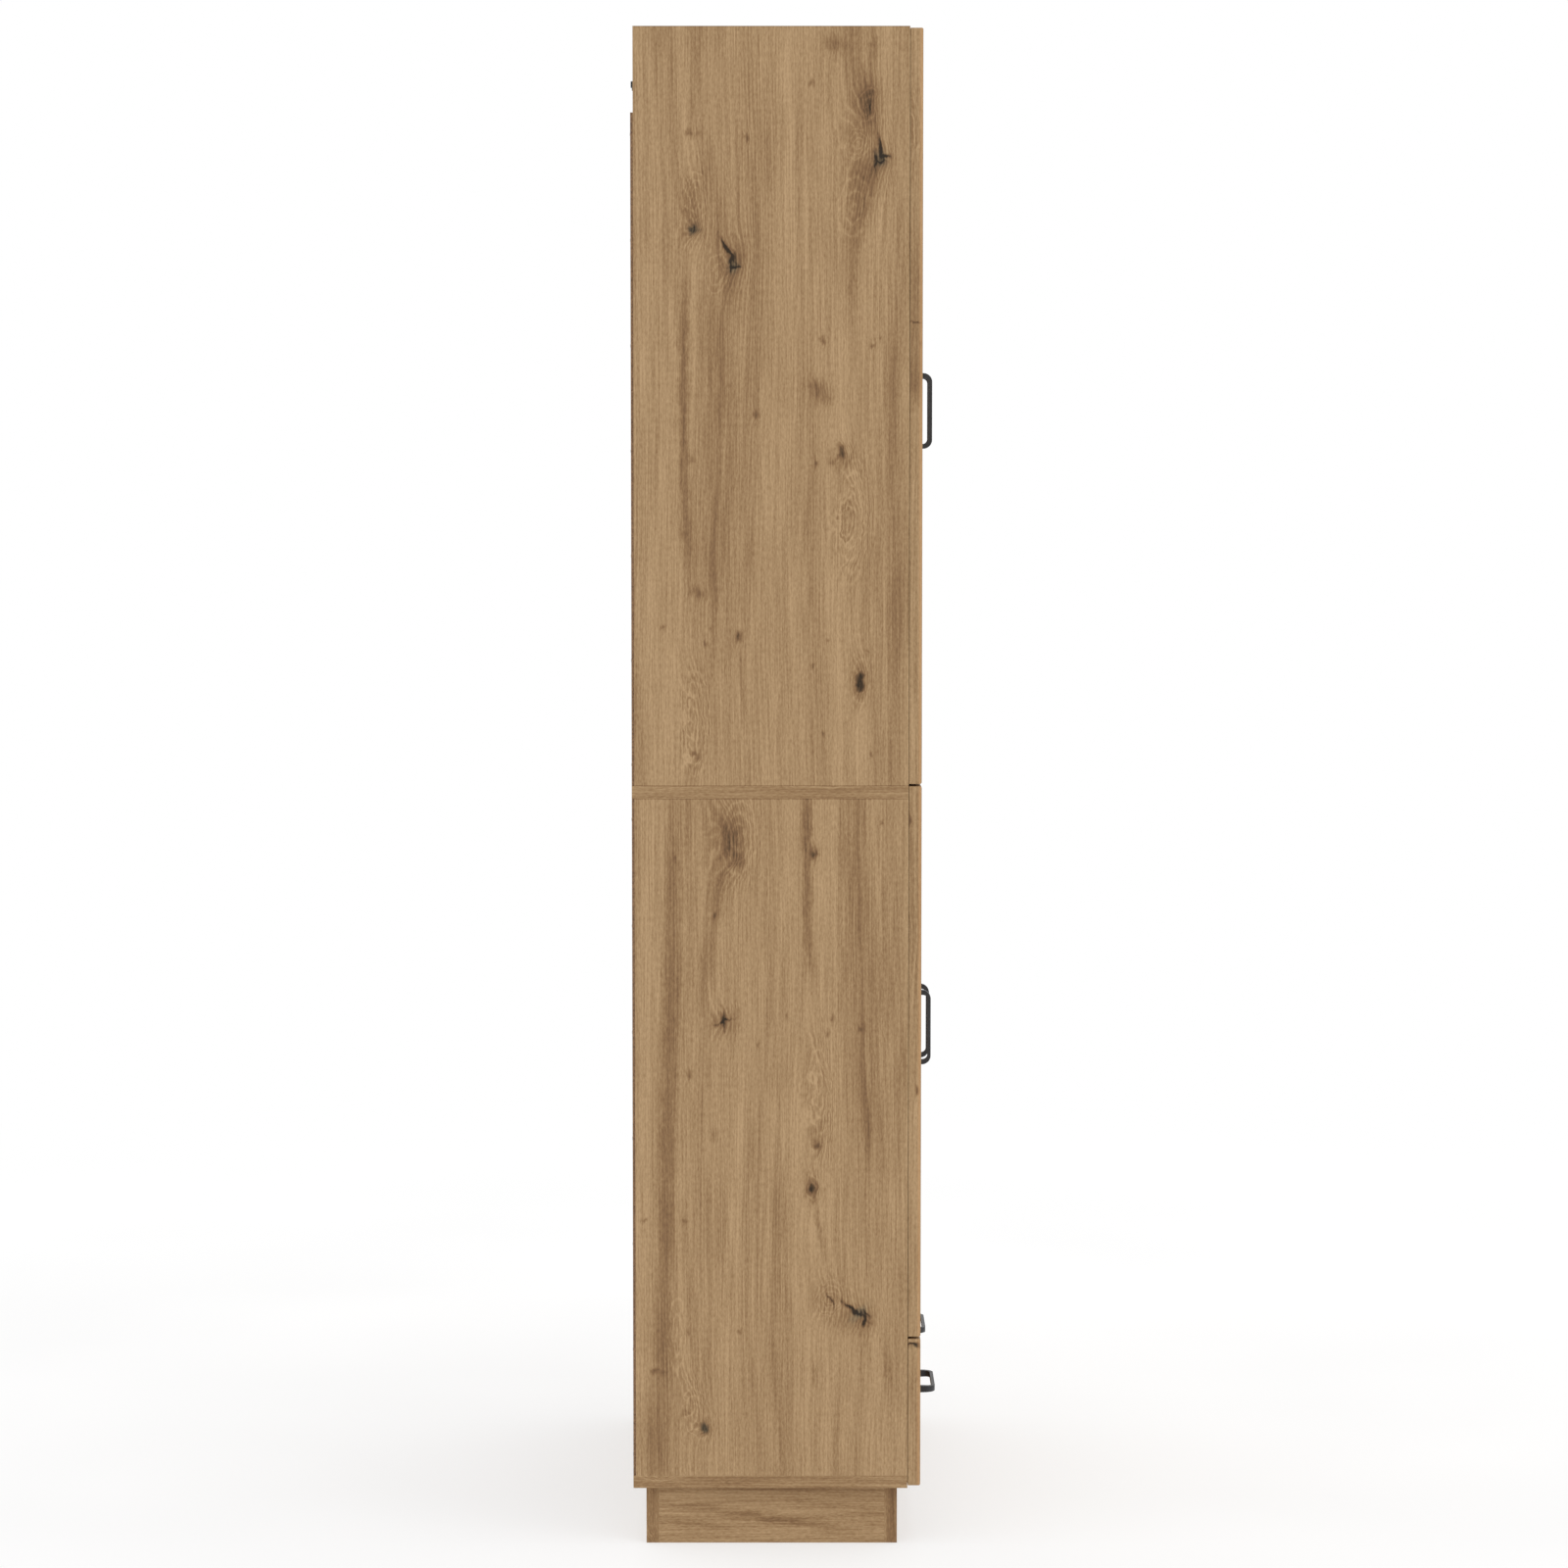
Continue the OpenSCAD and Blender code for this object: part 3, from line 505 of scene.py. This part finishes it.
def oak_shade(g, grain, figure, seed, base):
    """Shade of the oak print, how grey it is, and the height of its fibres."""
    wobble = g.noise(grain, *WOBBLE, output="Color")
    bent = g.vector("MULTIPLY_ADD", wobble, WOBBLE_REACH, grain)
    if figure:
        marks, hearts, ovals = figure
        push, dark = marked(g, bent, marks)
        heart = grey_hearts(g, bent, hearts)
        ring_levels = oval_rings(g, bent, ovals)
    else:
        push, dark = scattered(g, bent)
        heart = 0.0
        ring_levels = 0.0

    # Grain lines run along the board and bend round the knots
    across, along, _ = g.split(grain)
    waves = g.math("MULTIPLY", g.noise(grain, *WAVES), WAVE_REACH)
    line = g.math("ADD", g.math("ADD", across, push), waves)
    lines = g.join(g.math("ADD", line, seed * SEED_ACROSS), g.math("ADD", along, seed * SEED_ALONG))
    bands = g.noise(lines, *BANDS)
    clouds = g.noise(lines, *CLOUDS)
    streaks = g.noise(lines, *STREAKS)
    fibres = g.noise(grain, *FIBRES)
    specks = g.noise(grain, *SPECKS)
    pores = g.fade(g.noise(grain, *PORES), *PORE_RANGE)
    ring_place = g.math("MULTIPLY_ADD", g.noise(lines, *RING_DRIFT), DRIFT_REACH, line)
    rings = g.math("SINE", g.math("MULTIPLY", ring_place, 2 * math.pi / RING_PITCH))
    near_knot = g.fade(g.math("ABSOLUTE", push), *KNOT_RANGE)
    ring_strength = g.scaled(near_knot, KNOT_RING_LEVELS, RING_LEVELS)
    pale_rings = g.math("MULTIPLY", g.fade(rings, *PALE_RING_RANGE), near_knot)

    # The tone is an exponential, so that dark bands are narrower and deeper than pale ones
    tone = g.math("MULTIPLY_ADD", bands, BAND_WEIGHT, g.math("MULTIPLY", clouds, CLOUD_WEIGHT))
    shade = g.scaled(g.math("EXPONENT", tone), TONE_LEVELS, base + TONE_MIDDLE)
    layers = [
        (streaks, STREAK_LEVELS),
        (fibres, FIBRE_LEVELS),
        (specks, SPECK_LEVELS),
        (rings, ring_strength),
        (pale_rings, PALE_RING_LEVELS),
        (near_knot, KNOT_LEVELS),
        (pores, PORE_LEVELS),
    ]
    for layer, levels in layers:
        shade = g.math("MULTIPLY_ADD", layer, levels, shade)
    shade = g.math("ADD", g.math("SUBTRACT", shade, dark), ring_levels)
    height = g.math("MULTIPLY_ADD", fibres, FIBRE_HEIGHT, g.math("MULTIPLY", pores, PORE_HEIGHT))
    return shade, heart, height


# ---- Oak laminate ----
# Colour of the print from its darkest cracks to its palest streaks: shade, sRGB colour
OAK_TONES = [
    (44, (48, 35, 19)),
    (76, (95, 71, 46)),
    (97, (123, 92, 62)),
    (117, (143, 112, 77)),
    (137, (164, 134, 97)),
    (156, (182, 151, 113)),
]
SHADE_LOW = OAK_TONES[0][0]
SHADE_SPAN = OAK_TONES[-1][0] - SHADE_LOW
HEART_TONES = [(0.0, linear(38, 34, 26)), (1.0, linear(160, 148, 116))]

# Painted shade line where a side panel ends at a seam: where it fades in and is full, in millimetres
# beside the cut, and its levels
SEAM_SHADE_RANGE = (1.3, 0.6)
SEAM_SHADE_LEVELS = -24
# Painted highlight on a front's side edges, where the rounded edge would catch light: where it ends
# and is full, in millimetres behind the face
EDGE_HIGHLIGHT_RANGE = (5.5, 1.5)
EDGE_HIGHLIGHT_COLOUR = linear(196, 150, 104)
EDGE_HIGHLIGHT_SHARE = 0.5
# Relief in millimetres, roughness and what the fibres' height adds to it, and gloss
OAK_RELIEF = 0.06
OAK_ROUGHNESS = 0.6
FIBRE_ROUGHNESS = -0.08
OAK_GLOSS = 0.25


def oak_colour(g, shade, heart):
    """Colour of the oak print, greyer where heart is above 0."""
    position = g.scaled(shade, 1 / SHADE_SPAN, -SHADE_LOW / SHADE_SPAN)
    brown = g.ramp(position, [((s - SHADE_LOW) / SHADE_SPAN, linear(*c)) for s, c in OAK_TONES])
    if not isinstance(heart, bpy.types.NodeSocket):
        return brown
    return g.mix_colours(heart, brown, g.ramp(position, HEART_TONES))


def oak(
    name,
    layout,
    seed,
    figure=None,
    offset=(0, 0),
    scale=(1, 1),
    base=BASE,
    side_base=None,
    front=None,
    shaded_seams=(),
):
    """Oak-grain laminate of one board.

    Each board has a seed of its own, so that no two have the same grain. offset and scale turn the
    board's own millimetres into those of the figure. base is the board's shade, and side_base that of
    its faces that look along x, if they differ. front is the y of a front's face, beside which its
    side edges get a painted highlight, where a rounded edge would catch light. The heights of the
    seams where the sides end get thin dark lines of painted shade.
    """
    g = Graph(name)
    grain, is_side = grain_place(g, layout)
    if offset != (0, 0) or scale != (1, 1):
        values = {"Vector": grain, "Location": (*offset, 0), "Scale": (*scale, 1)}
        grain = g.add("ShaderNodeMapping", values, vector_type="POINT").outputs[0]
    shade, heart, relief = oak_shade(g, grain, figure, seed, base)
    if side_base is not None:
        shade = g.math("MULTIPLY_ADD", is_side, side_base - base, shade)
    _, y, z = g.split(g.place()[0])
    # Thin dark lines of painted shade at the seams where the sides end
    for cut in shaded_seams:
        gap = g.math("ABSOLUTE", g.math("SUBTRACT", z, cut))
        shade = g.math("MULTIPLY_ADD", g.fade(gap, *SEAM_SHADE_RANGE), SEAM_SHADE_LEVELS, shade)
    colour = oak_colour(g, shade, heart)
    # Painted highlight on the side edges next to the face, where a rounded edge would catch the light
    if front is not None:
        edge_highlight = g.math("MULTIPLY", g.fade(y, front + EDGE_HIGHLIGHT_RANGE[0], front + EDGE_HIGHLIGHT_RANGE[1]), is_side)
        colour = g.mix_colours(g.math("MULTIPLY", edge_highlight, EDGE_HIGHLIGHT_SHARE), colour, EDGE_HIGHLIGHT_COLOUR)
    g.bump(relief, OAK_RELIEF)
    roughness = g.scaled(relief, FIBRE_ROUGHNESS, OAK_ROUGHNESS)
    return g.finish(Base_Color=colour, Roughness=roughness, Specular_IOR_Level=OAK_GLOSS)


# ---- Other materials: sizes in millimetres ----
HARDBOARD_SEED = 9
HARDBOARD_BASE = 132
HARDBOARD_TONES = [
    (0.0, linear(86, 60, 38)),
    (0.5, linear(122, 90, 60)),
    (1.0, linear(150, 116, 82)),
]
BEECH_TONES = [(0.0, linear(176, 134, 92)), (1.0, linear(222, 188, 146))]
BLACK_TONES = (linear(34, 34, 36), linear(46, 46, 48))
SCREW_STEEL = grey(0.6)
NICKEL = (0.62, 0.63, 0.64, 1.0)
ZINC = (0.48, 0.48, 0.49, 1.0)
# Colour of a metal's dim clouds beside its bright ones
METAL_DIM = 0.86


def hardboard():
    """Hardboard: an oak print on the face inside the cabinet or drawer, brown fibre on the other."""
    g = Graph("hardboard")
    place, normal = g.place()
    x, y, z = g.split(place)
    facing = g.split(normal)
    grain = g.join(x, g.math("ADD", y, z))
    shade, heart, _ = oak_shade(g, grain, None, HARDBOARD_SEED, HARDBOARD_BASE)
    flecks = g.lumps(place, size=2.2, detail=3.0, roughness=0.8)
    clouds = g.lumps(place, size=140, detail=1.0, roughness=0.5)
    cloudy = g.scaled(clouds, factor=0.12, offset=0.5)
    fibre = g.ramp(g.scaled(flecks, factor=0.5, offset=cloudy), HARDBOARD_TONES)
    # The printed face looks up in a drawer and forwards in the back
    printed = g.math("GREATER_THAN", g.math("SUBTRACT", facing[2], facing[1]), 0.5)
    g.noise_bump(flecks, depth=0.12)
    colour = g.mix_colours(printed, fibre, oak_colour(g, shade, heart))
    return g.finish(Base_Color=colour, Roughness=0.7)


def metal(name, tone, roughness, grain_size, spread):
    """Plated or cast metal: tone is its colour, spread how much its fine grain varies the roughness."""
    g = Graph(name)
    place, _ = g.place()
    fine = g.lumps(place, size=grain_size, detail=3.0, roughness=0.6)
    broad = g.lumps(place, size=9, detail=2.0, roughness=0.5)
    dim = tuple(c * METAL_DIM for c in tone[:3]) + (1.0,)
    colour = g.mix_colours(g.fade(broad, start=-0.4, end=0.4), dim, tone)
    g.noise_bump(fine, depth=0.01)
    varied = g.scaled(fine, factor=spread, offset=roughness)
    return g.finish(Base_Color=colour, Metallic=1.0, Roughness=varied)


def beech():
    """Plain beech of the dowels, with short dark flecks."""
    g = Graph("beech")
    place, _ = g.place()
    fibres = g.noise(place, size=(1.2, 1.2, 9), detail=3.0, roughness=0.6, dimensions="3D")
    specks = g.noise(place, size=(0.6, 0.6, 3), detail=1.0, dimensions="3D")
    flecks = g.fade(specks, start=0.3, end=0.5)
    flecked = g.scaled(flecks, factor=-0.2, offset=0.5)
    tone = g.scaled(fibres, factor=0.4, offset=flecked)
    g.bump(tone, depth=0.05)
    return g.finish(Base_Color=g.ramp(tone, BEECH_TONES), Roughness=0.65)


def black_coat(name, steel_from=None):
    """Black powder coat, and the plated steel of the screws behind the y that steel_from gives."""
    g = Graph(name)
    place, _ = g.place()
    peel = g.lumps(place, size=0.9, detail=2.0, roughness=0.6)
    wear = g.lumps(place, size=14, detail=3.0, roughness=0.6)
    colour = g.mix_colours(g.fade(wear, start=-0.5, end=0.6), *BLACK_TONES)
    roughness = g.scaled(peel, factor=0.08, offset=0.42)
    g.noise_bump(peel, depth=0.03)
    if steel_from is None:
        return g.finish(Base_Color=colour, Roughness=roughness)
    behind = g.math("GREATER_THAN", g.split(place)[1], steel_from)
    colour = g.mix_colours(behind, colour, SCREW_STEEL)
    roughness = g.scaled(behind, factor=-0.15, offset=roughness)
    return g.finish(Base_Color=colour, Metallic=behind, Roughness=roughness)


# ---- Where the prints lie, in millimetres ----
side_lo, side_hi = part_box("upper_side_left")
lower_lo, lower_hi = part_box("lower_side_left")
door_lo, door_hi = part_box("upper_left_door")
front_edge = -side_lo.y * MM
half_width = -side_lo.x * MM
front_face = door_lo.y * MM
front_middle = front_face + (door_hi.y - door_lo.y) * MM / 2
# From the foot of the lower side to the foot of the upper door, which lifts the lower print to it
lift = (door_lo.z - lower_lo.z) * MM
# The heights at which the sides are cut, where painted shade lines mark the seams
upper_shaded_seams = (side_lo.z * MM, side_hi.z * MM)
lower_shaded_seams = (lower_hi.z * MM,)
# A left door's print starts this far in from the cabinet's left face, and door_across shifts it there
PRINT_INSET = 10
door_across = half_width - PRINT_INSET
# Where a handle's black ends and its screws begin, just behind the front's face
screws_from = front_face + 0.05

# Brown zone and crack on the left edge of the upper left door
edge_across = door_across + front_middle
door_marks = [
    (edge_across, 1490 - lift, 10, 95, 0, 24, 0),
    (edge_across, 1388 - lift, 10, 24, 0, 22, 0),
    (edge_across, 1457 - lift, 10, 1.0, 0, 44, 0),
]
upper_left_print = print_with("lower", door_marks)
# Wedge-shaped crack on the left edge of the left drawer front, a stain below it and its grey heart
drawer_print = (
    [
        (front_face + 3, 241.2, 7, 2.7, 8, 115, 0),
        (front_face + 12, 243.8, 5, 1.4, 4, 90, 0),
        (front_face + 10, 190, 3, 30, 0, 16, 0),
    ],
    [(front_face + 5, 240.5, 5, 2.5, 0)],
    [],
)
# Streaks of the plinth's sides, and a band of painted shade along their top under the bottom panel:
# across is counted from the floor, along from the part's middle
plinth_streaks_and_shade = [
    (29, 14, 5, 80, -8, 24, 5),
    (22, 108, 4, 44, -4, 18, 0),
    (46, -60, 4, 50, -5, 12, 0),
    # Band of painted shade along the top, under the bottom panel's overhang
    (71, 16, 5, 150, 0, 9, 0),
    (8, -70, 4, 40, 0, 10, 0),
]
plinth_print_and_shade = (plinth_streaks_and_shade, [], [])


# ---- Material of each board ----
def side_oak(name, seed, kind, shaded_seams, drop=0):
    """Side panel: its figure is counted from its front edge, and lowered by drop millimetres."""
    return oak(name, "upright", seed, PRINTS[kind], (front_edge, drop), shaded_seams=shaded_seams)


def door_oak(name, seed, figure, offset, scale=(1, 1)):
    """Door, with its figure moved by offset and turned by scale."""
    return oak(name, "door", seed, figure, offset, scale, front=front_face)


def drawer_oak(name, seed, figure=None):
    """Drawer front, with its grain lying level."""
    return oak(name, "wide", seed, figure, front=front_face)


def plinth_oak(name, seed):
    """Board across the plinth, darker at its two cut ends."""
    return oak(name, "wide", seed, base=132, side_base=121)


def plinth_side_oak(name, seed):
    """Board along the plinth's side, with its own few streaks and painted shade along its top."""
    return oak(name, "deep", seed, plinth_print_and_shade, base=134)


# Ways to turn a door's figure, as its scale across and along
UPSIDE_DOWN = (1, -1)
MIRRORED = (-1, 1)
oaks = {
    "upper_side_left": side_oak("oak_side_a", 1, "upper", upper_shaded_seams),
    "lower_side_left": side_oak("oak_side_b", 2, "lower", lower_shaded_seams),
    "upper_side_right": side_oak("oak_side_c", 3, "lower", upper_shaded_seams, drop=20 - lift),
    "lower_side_right": side_oak("oak_side_d", 4, "upper", lower_shaded_seams, drop=860),
    "upper_left_door": door_oak("oak_door_a", 5, upper_left_print, offset=(door_across, -lift)),
    "upper_right_door": door_oak("oak_door_b", 6, PRINTS["upper"], (-PRINT_INSET, 2708), UPSIDE_DOWN),
    "lower_left_door": door_oak("oak_door_c", 7, PRINTS["upper"], offset=(door_across, 800)),
    "lower_right_door": door_oak("oak_door_d", 8, PRINTS["lower"], (334, -20), MIRRORED),
    "bottom_panel": oak("oak_bottom", "level", 10, side_base=134),
    "middle_panel": oak("oak_middle", "level", 11, side_base=127),
    "top_panel": oak("oak_top", "level", 12),
    "drawer_deck": oak("oak_deck", "level", 13),
    "lower_shelf": oak("oak_shelf_a", "level", 14),
    "upper_shelf_low": oak("oak_shelf_b", "level", 15),
    "upper_shelf_high": oak("oak_shelf_c", "level", 16),
    "rear_rail": oak("oak_rail", "level", 17),
    "drawer_divider": oak("oak_divider", "upright", 18),
    "plinth_front": plinth_oak("oak_plinth_front", 19),
    "plinth_rear": plinth_oak("oak_plinth_rear", 20),
    "plinth_left": plinth_side_oak("oak_plinth_left", 21),
    "plinth_right": plinth_side_oak("oak_plinth_right", 22),
    "left_drawer_front": drawer_oak("oak_drawer_a", 23, drawer_print),
    "right_drawer_front": drawer_oak("oak_drawer_b", 24),
}
drawer_wood = oak("oak_drawer_boards", "deep", 25)
drawer_back_wood = oak("oak_drawer_backs", "level", 26)
handle_black = black_coat("black_handles", screws_from)
plate_black = black_coat("black_plates")
by_slot = {
    "hardboard": hardboard(),
    "plated_steel": metal("plated_steel", NICKEL, roughness=0.27, grain_size=0.8, spread=0.12),
    "zinc_alloy": metal("zinc_alloy", ZINC, roughness=0.45, grain_size=0.5, spread=0.15),
    "beech": beech(),
}
slots = {part["node"]: part["material_slot"] for part in frame["record"]["subparts"]}

# Rounding of the sharp edges of boards and black parts, in metres
EDGE_ROUNDING = {"oak_board": 0.0003, "black_metal": 0.0008}
SHARP_ANGLE = math.radians(50)
WELD_DISTANCE = 0.00001


def material_of(name):
    """The material of a node, from its slot in the record and for boards from its name."""
    slot = slots[name]
    if slot == "black_metal":
        return plate_black if name == "wall_brackets" else handle_black
    if slot == "oak_board":
        return oaks.get(name) or (drawer_back_wood if name.endswith("back") else drawer_wood)
    return by_slot[slot]


def round_edges(node, width):
    """Rounds a node's sharp edges with modifiers, which leave its own mesh alone."""
    weld = node.modifiers.new("weld", "WELD")
    weld.merge_threshold = WELD_DISTANCE
    bevel = node.modifiers.new("bevel", "BEVEL")
    bevel.width = width
    bevel.segments = 2
    bevel.limit_method = "ANGLE"
    bevel.angle_limit = SHARP_ANGLE
    bevel.use_clamp_overlap = True
    bevel.harden_normals = True


for name, node in nodes.items():
    node.data.materials.clear()
    node.data.materials.append(material_of(name))
    if slots[name] in EDGE_ROUNDING:
        round_edges(node, EDGE_ROUNDING[slots[name]])


# ---- Floor, light and camera ----
WHITE = grey(1.0)
# Half the floor's length and width, and its depth under the part, so that the two faces don't touch
FLOOR_REACH = 30.0
FLOOR_DROP = 0.0003
# The floor reflects light near the part and glows instead far from it, between these distances in
# millimetres; it glows a little near the part too
FLOOR_RANGE = (900, 3200)
NEAR_GLOW = 0.52
FAR_GLOW = 1.0
# The camera is 5 m from the left side, above its middle, and looks a few degrees down at it
CAMERA_DISTANCE = 4.982
CAMERA_Y = 0.0015
CAMERA_HEIGHT = 1.3
CAMERA_DOWN = 4.012
LENS = 97.18
SHIFT_Y = -0.02


def add_object(name, data):
    """A new object in the scene."""
    made = bpy.data.objects.new(name, data)
    bpy.context.scene.collection.objects.link(made)
    return made


def floor_paint():
    """Matt pale floor that turns evenly white away from the part."""
    g = Graph("floor_paint")
    place, _ = g.place()
    tone = g.lumps(place, size=900, detail=2.0, roughness=0.5)
    pale = g.mix_colours(g.fade(tone, start=-0.6, end=0.6), grey(0.47), grey(0.5))
    far = g.fade(g.math("SQRT", g.vector("DOT_PRODUCT", place, place)), *FLOOR_RANGE)
    glow = g.scaled(far, FAR_GLOW - NEAR_GLOW, NEAR_GLOW)
    paint = g.mix_colours(far, pale, grey(0.0))
    return g.finish(
        Base_Color=paint,
        Roughness=0.9,
        Specular_IOR_Level=0.0,
        Emission_Color=WHITE,
        Emission_Strength=glow,
    )


def add_floor():
    """Wide floor just under the part, which belongs to the picture only."""
    r = FLOOR_REACH
    mesh = bpy.data.meshes.new("floor")
    mesh.from_pydata([(-r, -r, 0), (r, -r, 0), (r, r, 0), (-r, r, 0)], [], [(0, 1, 2, 3)])
    mesh.materials.append(floor_paint())
    floor = add_object("floor", mesh)
    floor.location.z = -FLOOR_DROP


def add_world():
    """Even white light from all round."""
    world = bpy.data.worlds.new("studio")
    world.use_nodes = True
    background = world.node_tree.nodes["Background"]
    background.inputs["Color"].default_value = WHITE
    background.inputs["Strength"].default_value = 1.0
    bpy.context.scene.world = world
    bpy.context.scene.view_settings.view_transform = "Standard"


def add_softbox(name, place, size, power):
    """Square lamp that faces the middle of the part."""
    light = bpy.data.lights.new(name, "AREA")
    light.size = size
    light.energy = power
    lamp = add_object(name, light)
    middle = (Vector(cad_box[0]) + Vector(cad_box[1])) / 2
    lamp.location = place
    lamp.rotation_euler = (middle - Vector(place)).to_track_quat("-Z", "Y").to_euler()
    lamp.visible_camera = False


def add_camera():
    """The picture's own camera, which looks along +X."""
    camera = add_object("camera", bpy.data.cameras.new("camera"))
    camera.data.lens = LENS
    camera.data.shift_y = SHIFT_Y
    camera.location = (side_lo.x - CAMERA_DISTANCE, CAMERA_Y, CAMERA_HEIGHT)
    camera.rotation_euler = (math.radians(90 - CAMERA_DOWN), 0, math.radians(-90))
    bpy.context.scene.camera = camera


add_floor()
add_world()
add_softbox("key_light", (-3.4, -4.2, 3.8), size=2.4, power=25)
add_camera()
